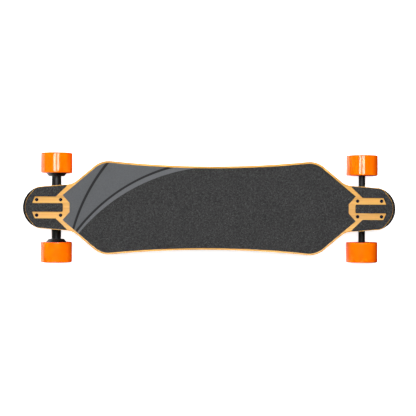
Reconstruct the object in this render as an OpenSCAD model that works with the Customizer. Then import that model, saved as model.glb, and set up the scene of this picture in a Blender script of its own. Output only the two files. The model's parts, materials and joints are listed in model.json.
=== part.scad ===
// Electric longboard with two hub motors, reverse-kingpin trucks and a battery case under the deck.
// The board lies along X with its front towards +X. Z is up, and the origin is on the ground below
// the middle of the deck.

/* [Deck] */
// Length of the bamboo deck, without its bumpers
deck_l = 976; // [970:1:980]
// Thickness of the deck
deck_t = 12; // [11:0.5:14]
// Radius of the hollow across the deck
concave_r = 1500; // [1200:50:3000]
// Thickness of the grip sheets
grip_t = 1; // [0.8:0.1:1.4]
// Bare rim between the deck's edge and the main grip
grip_rim = 5; // [4:0.5:7]

/* [Deck outline, sharp corners before rounding] */
// Width at the waist
waist_w = 197.8; // [192:0.2:206]
// Width at the four wings
wing_w = 252.2; // [248:0.2:256]
// Distance of the wings from the middle
wing_x = 285.3; // [280:0.1:290]
// Distance of the neck corners from the middle
neck_x = 362.2; // [358:0.1:366]
// Width at the neck corners
neck_w = 124.6; // [120:0.2:128]
// Distance of the nose shoulders from the middle
shoulder_x = 459.3; // [456:0.1:463]
// Width at the nose shoulders
shoulder_w = 109.8; // [106:0.2:112]
// Width across the tip's corners
tip_w = 38; // [36:0.5:40]

/* [Trucks and wheels] */
// Distance of each truck's bolt pattern from the middle
pattern_x = 425.7; // [422:0.1:430]
// Spacing of the truck bolts along the board
bolt_dx = 63.5; // [60:0.5:66]
// Spacing of the truck bolts across the board
bolt_dy = 41.3; // [40:0.1:43]
// Height of a truck, from the axle to its mounting face
truck_h = 64; // [64:0.5:70]
// Thickness of the riser pads
riser_t = 3; // [2:0.5:6]
// Diameter of the wheels
wheel_d = 85; // [83:1:90]
// Width of the wheels
wheel_w = 55; // [53:1:57]
// Middle of a front wheel from the board's centreline
front_wheel_y = 118.2; // [117:0.1:121]
// Middle of a rear wheel from the board's centreline
rear_wheel_y = 121.6; // [120:0.1:123]

/* [Battery case] */
// Length of the case
case_l = 580; // [560:5:600]
// Width of the case
case_w = 152; // [150:1:160]
// Depth of the case below the middle of the deck
case_d = 25; // [25:0.5:28]
// Wall thickness of the case
case_wall = 3; // [2.5:0.1:3.5]
// Number of battery cells in each of the two rows
cells_per_row = 10; // [6:1:10]

/* [Colours] */
// Colour of the wheels
wheel_colour = "DarkOrange"; // [DarkOrange, Crimson, RoyalBlue, SeaGreen]
// Colour of the deck
deck_colour = "BurlyWood"; // [BurlyWood, Tan, SandyBrown]

/* [Hidden] */
$fn = 72;

// ---- heights and the hollow ----
axle_z = wheel_d / 2;
mount_z = axle_z + truck_h;
deck_z = mount_z + riser_t;
deck_top_z = deck_z + deck_t;
under_r = concave_r + deck_t;
hollow_z = deck_top_z + concave_r;
gasket_t = 1;
lip_t = 3;
case_z = deck_z - case_d;
slip = 0.05;
over = 1;

// height of the surface of radius r that is concentric with the hollow, at y across the board
function hollow_height(r, y) = hollow_z - sqrt(r * r - y * y);

// ---- outlines as lists of sharp corners [x, y, rounding radius], anticlockwise ----
deck_quarter = [[deck_l / 2, tip_w / 2, tip_w * 1.3], [shoulder_x, shoulder_w / 2, 22],
    [neck_x, neck_w / 2, 45], [wing_x, wing_w / 2, 60]];
waist = [0, waist_w / 2, 2600];

function reversed(list) = [for (i = [len(list) - 1:-1:0]) list[i]];
function flipped(corners, sx, sy) = [for (c = corners) [sx * c[0], sy * c[1], c[2]]];
function four_quarters(q, w) = concat(q, [w], flipped(reversed(q), -1, 1), flipped(q, -1, -1),
    flipped([w], 1, -1), flipped(reversed(q), 1, -1));
function both_sides(half) = concat(half, flipped(reversed(half), 1, -1));
function unit(v) = v / norm(v);
function flat_point(c) = [c[0], c[1]];

// the arc that rounds corner c between its neighbours p and n
function corner_arc(p, c, n) =
    let (o = flat_point(c), a = unit(flat_point(p) - o), b = unit(flat_point(n) - o),
        half = acos(a * b) / 2, centre = o + unit(a + b) * c[2] / sin(half),
        s = o + a * c[2] / tan(half) - centre, f = o + b * c[2] / tan(half) - centre,
        start = atan2(s.y, s.x), raw = atan2(f.y, f.x) - start,
        sweep = raw > 180 ? raw - 360 : raw < -180 ? raw + 360 : raw,
        steps = max(ceil(abs(sweep) / 5), ceil(c[2] * abs(sweep) * PI / 180 / 25)))
    c[2] == 0 ? [o]
        : [for (i = [0:steps]) let (t = start + sweep * i / steps) centre + c[2] * [cos(t), sin(t)]];
function rounded(corners) = let (n = len(corners))
    [for (i = [0:n - 1]) each corner_arc(corners[(i + n - 1) % n], corners[i], corners[(i + 1) % n])];

// the corners with every side moved inwards by t
function inset(corners, t) = let (n = len(corners))
    [for (i = [0:n - 1])
        let (c = corners[i], a = unit(flat_point(c) - flat_point(corners[(i + n - 1) % n])),
            b = unit(flat_point(corners[(i + 1) % n]) - flat_point(c)),
            na = [-a.y, a.x], nb = [-b.y, b.x], m = (na + nb) / (1 + na * nb))
        [c[0] + m.x * t, c[1] + m.y * t, max(c[2] - t * sign(cross(a, b)), 0)]];

deck_corners = four_quarters(deck_quarter, waist);

// ---- shared shapes ----
module hollow_cylinder(r) {
    translate([-deck_l, 0, hollow_z]) rotate([0, 90, 0]) cylinder(r = r, h = 2 * deck_l, $fn = 720);
}

// a sheet with the outline of the corners, between two radii of the deck's hollow
module hollow_sheet(corners, r_in, r_out) {
    difference() {
        intersection() {
            translate([0, 0, case_z]) linear_extrude(2 * deck_t + case_d) polygon(rounded(corners));
            hollow_cylinder(r_out);
        }
        hollow_cylinder(r_in);
    }
}

module tube(r_out, r_in, h) {
    difference() {
        cylinder(r = r_out, h = h);
        translate([0, 0, -over]) cylinder(r = r_in, h = h + 2 * over);
    }
}

// puts children that stand on Z along +Y, starting at y
module along_y(y) {
    translate([0, y, 0]) rotate([-90, 0, 0]) children();
}

// the same children on the left and, mirrored, on the right
module both_y() {
    children();
    mirror([0, 1, 0]) children();
}

// ---- truck frame: X outwards from the board's middle, origin on the mounting face ----
ring_gap = 44;
pivot_at = [-33, 0, -62];
axle_u = -8.5;
steer_angle = 45;
pin_r = 5;
axle_r = 4;
bolt_r = 2.5;
bolt_head_r = 4.6;
bolt_l = 30;
plate_t = 6;
plate_front = 42;
nut_h = 5;
axle_k = (axle_u - pivot_at.x) * cos(steer_angle) + (truck_h + pivot_at.z) * sin(steer_angle);

module truck_frame(end) {
    rotate(end == "front" ? 0 : 180) translate([pattern_x, 0, mount_z]) children();
}

// Z along the steering axis, origin in the pivot, X along the kingpin and down
module steer_frame() {
    translate(pivot_at) rotate([0, steer_angle, 0]) children();
}

// Z along the kingpin and down, origin in the middle of the hanger's ring
module pin_frame() {
    steer_frame() translate([0, 0, ring_gap]) rotate([0, 90, 0]) children();
}

module at_bolts() {
    for (x = [-1, 1], y = [-1, 1]) translate([x * bolt_dx / 2, y * bolt_dy / 2, 0]) children();
}

module both_trucks() {
    for (end = ["front", "rear"]) truck_frame(end) children();
}

// ---- deck ----
screw_r = 2;
screw_head_r = 3.6;
screw_deep = 9;
case_quarter = [[case_l / 2, case_w / 2 - 34, 14], [case_l / 2 - 44, case_w / 2, 18]];
case_corners = concat(case_quarter, flipped(reversed(case_quarter), -1, 1),
    flipped(case_quarter, -1, -1), flipped(reversed(case_quarter), 1, -1));
rim = 12;
rim_corners = inset(case_corners, -rim);
rim_screw_x = [for (i = [-3:3]) i * (case_l - 110) / 6];
rim_screws = [for (x = rim_screw_x, s = [-1, 1]) [x, s * (case_w + rim) / 2],
    for (sx = [-1, 1], sy = [-1, 1]) [sx * (case_l + rim) / 2, sy * 22]];
bumper_screw_spots = [for (sx = [-1, 1], sy = [-1, 1]) [sx * (deck_l / 2 - 11), sy * 16]];

module bolt_shape(gap) {
    head_h = bolt_head_r - bolt_r;
    translate([0, 0, -bolt_l]) cylinder(r = bolt_r + gap, h = bolt_l);
    translate([0, 0, -head_h - gap]) cylinder(r1 = bolt_r + gap, r2 = bolt_head_r + gap, h = head_h);
    translate([0, 0, -gap - 0.01]) cylinder(r = bolt_head_r + gap, h = gap + 0.01);
}

bolt_top = hollow_height(concave_r, bolt_dy / 2 - bolt_head_r);

module at_truck_bolts() {
    for (end = [0, 180]) rotate(end) translate([pattern_x, 0, bolt_top]) at_bolts() children();
}

module deck() {
    color(deck_colour) difference() {
        hollow_sheet(deck_corners, concave_r, under_r);
        at_truck_bolts() union() {
            bolt_shape(0.15);
            cylinder(r = bolt_head_r + 0.15, h = deck_t);
        }
        for (p = concat(rim_screws, bumper_screw_spots))
            translate([p.x, p.y, hollow_height(under_r, p.y) - over])
                cylinder(r = screw_r + slip, h = screw_deep + over);
    }
}

// ---- grip sheets ----
bracket = 1.5;
main_inset = inset(deck_corners, grip_rim);
prong = [pattern_x - 37, 33, 0];
notch = [pattern_x - 55.4, 12.2, 2];
main_quarter = [notch, prong, main_inset[3]];
nose_inset = inset(deck_corners, 0.6);
nose_half = [nose_inset[0], nose_inset[1] - [0, 1.4, 0], [pattern_x - 50.6, neck_w / 2 - 2.4, bracket],
    [pattern_x - 18.6, 29, bracket], [pattern_x + 36.5, 29, bracket],
    [pattern_x + 44.3, 11.5, bracket], [pattern_x - 37.7, 11.5, 3.5]];

module grip(corners) {
    color([0.24, 0.24, 0.24]) hollow_sheet(corners, concave_r - grip_t, concave_r);
}

module main_grip() {
    grip(four_quarters(main_quarter, main_inset[4]));
}

module end_grip() {
    grip(both_sides(nose_half));
}

module nose_grip() {
    end_grip();
}

module tail_grip() {
    rotate(180) end_grip();
}

// ---- bumpers ----
bumper_r = 57.5;
bumper_x = deck_l / 2 + 6.1 - bumper_r;
bumper_start = 461;
bumper_lip = 3;
bumper_lip_from = pattern_x + plate_front + 1.5;

module bumper_plan(from) {
    intersection() {
        translate([bumper_x, 0]) circle(r = bumper_r, $fn = 144);
        translate([from, -bumper_r]) square([bumper_r, 2 * bumper_r]);
    }
}

// a rubber crescent round the tip, with a lip screwed to the deck's underside
module bumper() {
    color([0.07, 0.07, 0.07]) difference() {
        union() {
            difference() {
                translate([0, 0, deck_z - bumper_lip]) linear_extrude(deck_t + bumper_lip + 1.5)
                    bumper_plan(bumper_start);
                translate([0, 0, deck_z - 2 * bumper_lip]) linear_extrude(3 * deck_t)
                    polygon(rounded(inset(deck_corners, -slip)));
            }
            difference() {
                translate([0, 0, deck_z - bumper_lip]) linear_extrude(bumper_lip + 2)
                    bumper_plan(bumper_lip_from);
                hollow_cylinder(under_r + slip);
            }
        }
        for (p = bumper_screw_spots)
            translate([p.x, p.y, deck_z - 2 * bumper_lip]) cylinder(r = screw_r + slip, h = 2 * deck_t);
    }
}

module nose_bumper() {
    bumper();
}

module tail_bumper() {
    rotate(180) bumper();
}

// a pan-head screw pointing up, its head's top at z = 0
module screw(shank) {
    difference() {
        union() {
            cylinder(r = screw_r, h = shank);
            translate([0, 0, -2.4]) cylinder(r1 = screw_head_r - 0.8, r2 = screw_head_r, h = 1);
            translate([0, 0, -1.4]) cylinder(r = screw_head_r, h = 1.4);
        }
        translate([0, 0, -2.4 - over]) cylinder(r = 1.5, h = over + 1.4, $fn = 6);
    }
}

module bumper_screws() {
    color([0.12, 0.12, 0.12]) for (p = bumper_screw_spots)
        translate([p.x, p.y, deck_z - bumper_lip]) screw(bumper_lip + screw_deep - over);
}

// ---- battery case ----
lid_r = under_r + gasket_t;
case_chamfer = 7;
button_x = -178;
socket_x = -207;
side_z = case_z + 13.2;
button_hole_r = 8;
socket_hole_r = 7.5;

// side view of the case with chamfered lower edges, for a width w
module case_side(w) {
    translate([0, case_z]) polygon([[-w / 2 + case_chamfer, 0], [w / 2 - case_chamfer, 0],
        [w / 2, case_chamfer], [w / 2, 2 * case_d], [-w / 2, 2 * case_d], [-w / 2, case_chamfer]]);
}

// the closed form of the case, shrunk on every side by t
module case_form(t) {
    intersection() {
        translate([0, 0, case_z + t]) linear_extrude(case_d + 2 * deck_t)
            polygon(rounded(inset(case_corners, t)));
        translate([-case_l, 0, 0]) rotate([90, 0, 90]) linear_extrude(2 * case_l)
            case_side(case_w - 2 * t);
        translate([0, case_w, 0]) rotate([90, 0, 0]) linear_extrude(2 * case_w)
            case_side(case_l - 2 * t);
        hollow_clear(t == 0 ? lid_r : lid_r - over);
    }
}

// everything below the surface of radius r
module hollow_clear(r) {
    difference() {
        translate([-case_l, -case_w, case_z - over]) cube([2 * case_l, 2 * case_w, 2 * case_d]);
        hollow_cylinder(r);
    }
}

board_posts = [for (x = [-262, -152, -128, -48], y = [-40, 40]) [x, y]];
post_h = 4;

module enclosure() {
    color([0.1, 0.1, 0.1]) difference() {
        union() {
            difference() {
                union() {
                    case_form(0);
                    hollow_sheet(rim_corners, lid_r, lid_r + lip_t);
                }
                case_form(case_wall);
            }
            for (p = board_posts)
                translate([p.x, p.y, case_z + case_wall - over]) cylinder(r = 4, h = post_h + over);
        }
        for (p = rim_screws)
            translate([p.x, p.y, case_z]) cylinder(r = screw_r + 0.3, h = 2 * case_d);
        translate([button_x, 0, side_z]) along_y(-case_w) cylinder(r = button_hole_r, h = case_w / 2 + 6);
        translate([socket_x, 0, side_z]) along_y(-case_w) cylinder(r = socket_hole_r, h = case_w / 2 + 6);
        for (s = [-1, 1]) translate([-case_l / 2 - over, s * 12, side_z]) rotate([0, 90, 0])
            cylinder(r = 4.2, h = 2 * case_wall + over);
    }
}

module enclosure_gasket() {
    color([0.16, 0.16, 0.16]) difference() {
        hollow_sheet(rim_corners, under_r, lid_r);
        translate([0, 0, deck_z - over]) linear_extrude(2 * deck_t)
            polygon(rounded(inset(case_corners, case_wall)));
        for (p = rim_screws)
            translate([p.x, p.y, case_z]) cylinder(r = screw_r + 0.3, h = 2 * case_d);
    }
}

module enclosure_screws() {
    color([0.2, 0.2, 0.2]) for (p = rim_screws) {
        seat = hollow_height(lid_r + lip_t, max(0, abs(p.y) - screw_head_r));
        translate([p.x, p.y, seat]) screw(gasket_t + lip_t + screw_deep - 2);
    }
}

// ---- battery and electronics ----
cell_r = 9.2;
cell_l = 65;
cell_pitch = 19.6;
cell_from = 50;
cell_z = case_z + case_wall + 10.4;
cell_y = 34;

module at_cells() {
    for (i = [0:cells_per_row - 1], s = [-1, 1])
        translate([cell_from + i * cell_pitch, s * cell_y, cell_z]) rotate([-90, 0, 0]) children();
}

module battery_cells() {
    color([0.2, 0.45, 0.7]) at_cells() union() {
        translate([0, 0, -cell_l / 2]) cylinder(r = cell_r, h = cell_l - 1);
        translate([0, 0, cell_l / 2 - 1]) cylinder(r = 3, h = 1);
    }
}

module cell_brackets() {
    bracket_l = cells_per_row * cell_pitch + 4;
    color([0.75, 0.75, 0.72]) for (s = [-1, 1], e = [-1, 1])
        translate([0, s * cell_y + e * (cell_l / 2 - 8), 0]) difference() {
            translate([cell_from - cell_pitch / 2 - 2, -2, case_z + case_wall])
                cube([bracket_l, 4, 12]);
            for (i = [0:cells_per_row - 1])
                translate([cell_from + i * cell_pitch, 0, cell_z]) along_y(-3)
                    cylinder(r = cell_r + slip, h = 6);
        }
}

board_z = case_z + case_wall + post_h;
board_thick = 1.6;

module bms_board() {
    color([0.1, 0.35, 0.2]) union() {
        translate([-134, -46, board_z]) cube([92, 92, board_thick]);
        for (i = [0:5]) translate([-126 + i * 14, -38, board_z + board_thick - slip]) cube([8, 10, 3]);
        translate([-110, 10, board_z + board_thick - slip]) cube([40, 24, 4]);
    }
}

module esc_board() {
    color([0.08, 0.25, 0.4]) union() {
        translate([-268, -46, board_z]) cube([122, 92, board_thick]);
        for (i = [0:3]) translate([-250 + i * 22, 34, board_z + board_thick + 5.5])
            rotate([0, 90, 0]) cylinder(r = 5.55, h = 18);
        for (i = [0:5]) translate([-256 + i * 17, 6, board_z + board_thick - slip]) cube([10, 14, 4.5]);
        translate([-200, -38, board_z + board_thick - slip]) cube([30, 30, 3]);
    }
}

module esc_heat_plate() {
    color("Silver") translate([-256, -34, case_z + case_wall]) cube([98, 68, 3]);
}

module power_leads() {
    for (s = [-1, 1]) color(s > 0 ? "Red" : "Black")
        translate([-140, s * 56, board_z + 5]) rotate([0, 90, 0]) union() {
            cylinder(r = 2, h = 176);
            translate([0, 0, -5]) cylinder(r = 3, h = 12);
        }
}

// ---- charge socket, its cap, and the power button on the case's right side ----
wall_y = -case_w / 2;
socket_r = 5.5;
contact_r = 2;
cap_hinge_x = socket_x - 11;
cap_hinge_y = wall_y - 2.6;

module charge_socket() {
    color([0.15, 0.15, 0.15]) difference() {
        union() {
            translate([socket_x, 0, side_z]) along_y(wall_y) cylinder(r = socket_hole_r - slip, h = 12);
            translate([socket_x, 0, side_z]) along_y(wall_y - 1.2) cylinder(r = 8.5, h = 1.2);
            for (s = [-1, 1]) translate([cap_hinge_x - 1.6, wall_y - 4.2, side_z + s * 3.6 - 1])
                cube([4, 4.2, 2]);
            translate([cap_hinge_x, cap_hinge_y, side_z - 4.6]) cylinder(r = 0.7, h = 9.2);
        }
        translate([socket_x, 0, side_z]) along_y(wall_y - over - 1.2) cylinder(r = socket_r, h = over + 9.2);
        translate([socket_x, 0, side_z]) along_y(wall_y) cylinder(r = contact_r + 0.01, h = 13);
    }
    color("Goldenrod") translate([socket_x, 0, side_z]) along_y(wall_y + 8) cylinder(r = contact_r, h = 4);
}

// rubber cap, closed: a disc over the socket, and a strap round the hinge pin
module charge_cap() {
    color([0.08, 0.08, 0.08]) difference() {
        union() {
            translate([socket_x, 0, side_z]) along_y(wall_y - 3.3) cylinder(r = 8, h = 2);
            translate([cap_hinge_x, wall_y - 3.3, side_z - 2.4]) cube([8, 2, 4.8]);
            translate([cap_hinge_x, cap_hinge_y, side_z - 2.4]) cylinder(r = 1.5, h = 4.8);
            translate([socket_x + 6, wall_y - 3.3, side_z - 1.5]) cube([4, 1.2, 3]);
        }
        translate([cap_hinge_x, cap_hinge_y, side_z - 3]) cylinder(r = 0.75, h = 6);
    }
}

module button_bezel() {
    color("Silver") translate([button_x, 0, side_z]) {
        along_y(wall_y - 1.5) tube(9.5, 6.1, 1.5);
        along_y(wall_y - slip) tube(button_hole_r - slip, 6.1, 9);
    }
}

module power_button() {
    color([0.12, 0.12, 0.12]) translate([button_x, 0, side_z]) difference() {
        along_y(wall_y - 2.5) cylinder(r = 6, h = 9);
        along_y(wall_y - 3) tube(4.2, 3.6, 1);
    }
}

// ---- truck hardware ----
module truck_bolts() {
    color([0.12, 0.12, 0.12]) at_truck_bolts() difference() {
        bolt_shape(0);
        translate([0, 0, -2]) cylinder(r = 1.73, h = 3, $fn = 6);
    }
}

module truck_nuts() {
    color("Silver") both_trucks() at_bolts() translate([0, 0, -plate_t - nut_h]) difference() {
        union() {
            cylinder(r = 4.62, h = nut_h - 1, $fn = 6);
            translate([0, 0, nut_h - 1 - slip]) cylinder(r = 5, h = 1 + slip);
        }
        translate([0, 0, -over]) cylinder(r = bolt_r + slip, h = nut_h + 2 * over);
    }
}

plate_corners = [[plate_front, -27.5, 9], [plate_front, 27.5, 9], [-58, 27.5, 12], [-58, -27.5, 12]];

// flat pads that the deck's hollow underside touches along its middle line
module riser_pads() {
    color([0.1, 0.1, 0.1]) both_trucks() difference() {
        linear_extrude(riser_t) polygon(rounded(plate_corners));
        at_bolts() translate([0, 0, -over]) cylinder(r = bolt_r + 0.25, h = riser_t + 2 * over);
    }
}

// ---- trucks ----
cup_r = 9;
nose_r = 6.5;
nose_gap = 0.15;
housing_r = 10.5;
seat_k = -20.5;
head_k = -29;
head_h = 6;
head_r = 8;
ring_half = 5;

module baseplate() {
    difference() {
        union() {
            translate([0, 0, -plate_t]) linear_extrude(plate_t) polygon(rounded(plate_corners));
            intersection() {
                pin_frame() translate([0, 0, seat_k - 30]) cylinder(r = 13, h = 30);
                translate([-60, -20, -60]) cube([100, 40, 60]);
            }
            rotate([90, 0, 0]) translate([0, 0, -10]) linear_extrude(20)
                polygon([[-54, -3], [-31, -3], [-40.4, -49.6], [-31, -59], [-40.8, -69.8], [-48, -63]]);
            for (s = [-1, 1]) rotate([90, 0, 0]) translate([0, 0, s * 8 - 2]) linear_extrude(4)
                polygon([[-56, -3], [-20, -3], [-37, -30], [-50, -45]]);
            steer_frame() translate([0, 0, -11]) cylinder(r = housing_r, h = 14.5);
        }
        steer_frame() translate([0, 0, -8]) cylinder(r = cup_r + slip, h = 20);
        pin_frame() translate([0, 0, head_k - over]) cylinder(r = pin_r + slip, h = 20);
        pin_frame() translate([0, 0, head_k - 30]) cylinder(r = head_r + 0.3, h = 30);
        at_bolts() translate([0, 0, -plate_t - over]) cylinder(r = bolt_r + 0.25, h = plate_t + 2 * over);
    }
}

module front_baseplate() {
    color([0.1, 0.1, 0.1]) truck_frame("front") baseplate();
}

module rear_baseplate() {
    color([0.1, 0.1, 0.1]) truck_frame("rear") baseplate();
}

module pivot_cups() {
    color([0.2, 0.2, 0.2]) both_trucks() steer_frame() difference() {
        translate([0, 0, -8]) cylinder(r = cup_r, h = 11.5);
        sphere(r = nose_r + nose_gap);
        cylinder(r = nose_r + nose_gap, h = 10);
    }
}

module kingpins() {
    color("Silver") both_trucks() pin_frame() union() {
        translate([0, 0, head_k]) cylinder(r = pin_r, h = 27 - head_k);
        translate([0, 0, head_k - head_h]) cylinder(r = head_r, h = head_h, $fn = 6);
    }
}

module kingpin_nuts() {
    color([0.2, 0.2, 0.2]) both_trucks() pin_frame() translate([0, 0, 18.5]) difference() {
        union() {
            cylinder(r = 9.2, h = 6, $fn = 6);
            translate([0, 0, 6 - slip]) cylinder(r = 7.4, h = 2.5);
        }
        translate([0, 0, -over]) cylinder(r = pin_r + slip, h = 12);
    }
}

module bushing_washers() {
    color("Silver") both_trucks() pin_frame() {
        translate([0, 0, seat_k]) tube(12.5, pin_r + 0.1, 1.5);
        translate([0, 0, 17]) tube(11, pin_r + 0.1, 1.5);
    }
}

bushing_bore = pin_r + 0.15;

module boardside_bushing(end) {
    color(wheel_colour) truck_frame(end) pin_frame() translate([0, 0, -19])
        tube(12, bushing_bore, 19 - ring_half);
}

module roadside_bushing(end) {
    color(wheel_colour) truck_frame(end) pin_frame() translate([0, 0, ring_half]) difference() {
        cylinder(r1 = 12, r2 = 9.5, h = 12);
        translate([0, 0, -over]) cylinder(r = bushing_bore, h = 14);
    }
}

module front_boardside_bushing() {
    boardside_bushing("front");
}

module rear_boardside_bushing() {
    boardside_bushing("rear");
}

module front_roadside_bushing() {
    roadside_bushing("front");
}

module rear_roadside_bushing() {
    roadside_bushing("rear");
}

// the yoke that carries the pivot nose and the ring, and joins the axle's housing
module yoke() {
    steer_frame() {
        sphere(r = nose_r);
        cylinder(r = nose_r, h = 12);
        translate([-ring_half, -11, 6]) cube([2 * ring_half, 22, 26]);
        translate([-ring_half, 0, ring_gap]) rotate([0, 90, 0]) cylinder(r = 15, h = 2 * ring_half);
        translate([0, -14, 7.5]) cube([axle_k, 28, 20]);
    }
}

module hanger_cuts() {
    pin_frame() translate([0, 0, -20]) cylinder(r = 7.5, h = 40);
    translate([axle_u, -200, -truck_h]) rotate([-90, 0, 0]) cylinder(r = axle_r + slip, h = 400);
}

front_shoulder = front_wheel_y - 15.2;
arm_r = 9.1;

module front_hanger() {
    color([0.1, 0.1, 0.1]) truck_frame("front") difference() {
        union() {
            yoke();
            translate([axle_u, 0, -truck_h]) both_y() {
                along_y(-over) cylinder(r = 12.4, h = 24 + over);
                along_y(24 - slip) cylinder(r1 = 12.4, r2 = arm_r, h = 22);
                along_y(46 - 2 * slip) cylinder(r = arm_r, h = front_shoulder - 46);
            }
        }
        hanger_cuts();
    }
}

module front_axle() {
    half = front_wheel_y + 23.5;
    color("Silver") truck_frame("front") translate([axle_u, 0, -truck_h]) along_y(-half)
        cylinder(r = axle_r, h = 2 * half);
}

// a lock nut standing on z = 0, with a thin washer under it
module axle_nut(nut_high) {
    translate([0, 0, 1]) difference() {
        cylinder(r = 7.5, h = nut_high, $fn = 6);
        translate([0, 0, -over]) cylinder(r = axle_r + slip, h = nut_high + 2 * over);
    }
    tube(7.5, axle_r + slip, 1 - 0.01);
}

module front_axle_nuts() {
    color("Silver") truck_frame("front") translate([axle_u, 0, -truck_h]) both_y() {
        along_y(front_wheel_y + 14.2 + slip) axle_nut(8);
        along_y(front_shoulder) tube(6.5, axle_r + slip, 1 - slip);
    }
}

rear_in = rear_wheel_y - wheel_w / 2;
stub_r = 7.5;
flange_h = 8.4;
stub_end = rear_wheel_y + 9;

module rear_hanger() {
    color([0.1, 0.1, 0.1]) truck_frame("rear") difference() {
        union() {
            yoke();
            translate([axle_u, 0, -truck_h]) both_y() {
                along_y(-over) cylinder(r = 12.4, h = 24 + over);
                along_y(24 - slip) cylinder(r1 = 12.4, r2 = 13.8, h = 20);
                along_y(44 - 2 * slip) cylinder(r1 = 13.8, r2 = 12.6, h = rear_in - flange_h - 44);
                along_y(60) cylinder(r = stub_r, h = stub_end - 60);
            }
        }
        hanger_cuts();
    }
}

module rear_axle() {
    half = rear_wheel_y + 27;
    color("Silver") truck_frame("rear") translate([axle_u, 0, -truck_h]) along_y(-half)
        cylinder(r = axle_r, h = 2 * half);
}

module rear_axle_nuts() {
    color("Silver") truck_frame("rear") translate([axle_u, 0, -truck_h]) both_y()
        along_y(rear_wheel_y + 21) axle_nut(4.5);
}

// ---- hub motors: fixed parts ----
stator_from = rear_wheel_y - 12;
stator_l = 20;
stator_r = 25.3;
teeth = 12;
tooth_w = 5;

module motor_flanges() {
    color([0.12, 0.12, 0.12]) truck_frame("rear") translate([axle_u, 0, -truck_h]) both_y()
        along_y(rear_in - flange_h + slip) difference() {
            cylinder(r1 = 20.9, r2 = 27.9, h = flange_h - 0.1);
            translate([0, 0, -over]) cylinder(r = stub_r + slip, h = flange_h + 2 * over);
        }
}

module stator_core() {
    difference() {
        union() {
            cylinder(r = 12, h = stator_l);
            for (i = [0:teeth - 1]) rotate(i * 360 / teeth)
                translate([9, -tooth_w / 2, 0]) cube([14, tooth_w, stator_l]);
            for (i = [0:teeth - 1]) rotate(i * 360 / teeth) intersection() {
                difference() {
                    cylinder(r = stator_r, h = stator_l);
                    translate([0, 0, -over]) cylinder(r = 22.5, h = stator_l + 2 * over);
                }
                translate([20, -5.2, 0]) cube([8, 10.4, stator_l]);
            }
        }
        translate([0, 0, -over]) cylinder(r = stub_r + slip, h = stator_l + 2 * over);
    }
}

module stator_cores() {
    color("Gray") truck_frame("rear") translate([axle_u, 0, -truck_h]) both_y()
        along_y(stator_from) stator_core();
}

module stator_windings() {
    coil_t = 1.2;
    color([0.72, 0.4, 0.15]) truck_frame("rear") translate([axle_u, 0, -truck_h]) both_y()
        along_y(stator_from) for (i = [0:teeth - 1]) rotate(i * 360 / teeth) difference() {
            translate([14.5, -tooth_w / 2 - coil_t, -2.5]) cube([7, tooth_w + 2 * coil_t, stator_l + 5]);
            translate([14, -tooth_w / 2 - slip, -slip]) cube([8, tooth_w + 2 * slip, stator_l + 2 * slip]);
        }
}

cable_r = 2.6;
cable_turn = 28;

// each motor's cable lies under the hanger, behind the axle, from the flange to the middle
module motor_cables() {
    color([0.08, 0.08, 0.08]) truck_frame("rear") translate([axle_u, 0, -truck_h]) both_y()
        rotate([0, cable_turn, 0]) translate([0, 0, -14 - cable_r]) along_y(16)
            cylinder(r = cable_r, h = rear_in - flange_h - 17);
}

// the same cables fixed to the deck's underside, from the case to the truck
module phase_leads() {
    color([0.08, 0.08, 0.08]) for (s = [-1, 1])
        translate([-case_l / 2 - 62, s * 12, side_z]) rotate([0, 90, 0])
            cylinder(r = 4, h = 62 + case_wall + 4);
}

// ---- wheels ----
lip_r = 3;

// a ring with rounded outer edges, from z = 0 to h
module tyre_ring(r_out, r_in, h) {
    rotate_extrude($fn = 144) polygon(concat([[r_in, 0]],
        [for (t = [-90:15:0]) [r_out - lip_r + lip_r * cos(t), lip_r + lip_r * sin(t)]],
        [for (t = [0:15:90]) [r_out - lip_r + lip_r * cos(t), h - lip_r + lip_r * sin(t)]],
        [[r_in, h]]));
}

module bearing(r_out, r_in, w) {
    tube(r_out, r_in, w);
}

// puts a wheel that stands on z = 0 with its inner face at y, on the side s = 1 left, -1 right
module on_front_axle(s) {
    truck_frame("front") translate([axle_u, 0, -truck_h]) mirror([0, s > 0 ? 0 : 1, 0])
        along_y(front_wheel_y - wheel_w / 2) children();
}

// the rear truck frame is turned round, so its own +Y points to the board's right
module on_rear_axle(s) {
    truck_frame("rear") translate([axle_u, 0, -truck_h]) mirror([0, s > 0 ? 1 : 0, 0])
        along_y(rear_in) children();
}

core_r = 28;
hub_from = wheel_w / 2 - 14.2;
seat_r = 11;
bearing_w = 7;

module front_tyre() {
    color(wheel_colour) tyre_ring(wheel_d / 2, core_r, wheel_w);
}

module front_core() {
    spokes = 7;
    hub_l = 28.4;
    color([0.1, 0.1, 0.1]) difference() {
        union() {
            translate([0, 0, 1.5]) tube(core_r - 0.01, core_r - 3, wheel_w - 3);
            translate([0, 0, hub_from]) cylinder(r = 14, h = hub_l);
            for (i = [0:spokes - 1]) rotate(i * 360 / spokes)
                translate([11, -2.5, hub_from + 4]) cube([15, 5, hub_l - 8]);
            translate([0, 0, wheel_w / 2 - 2]) cylinder(r = core_r - 2, h = 4);
        }
        translate([0, 0, hub_from - over]) cylinder(r = 9.5, h = hub_l + 2 * over);
        translate([0, 0, hub_from - over]) cylinder(r = seat_r + 0.01, h = bearing_w + over);
        translate([0, 0, hub_from + hub_l - bearing_w]) cylinder(r = seat_r + 0.01, h = bearing_w + over);
        for (i = [0:spokes - 1]) rotate((i + 0.5) * 360 / spokes)
            translate([19.5, 0, 0]) cylinder(r = 3.4, h = wheel_w);
    }
}

module front_bearings() {
    color("Silver") {
        translate([0, 0, hub_from]) bearing(seat_r, axle_r + 0.02, bearing_w);
        translate([0, 0, hub_from + 28.4 - bearing_w]) bearing(seat_r, axle_r + 0.02, bearing_w);
        translate([0, 0, hub_from + bearing_w + 0.01]) bearing(5.5, axle_r + 0.02, 14.38);
    }
}

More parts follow.
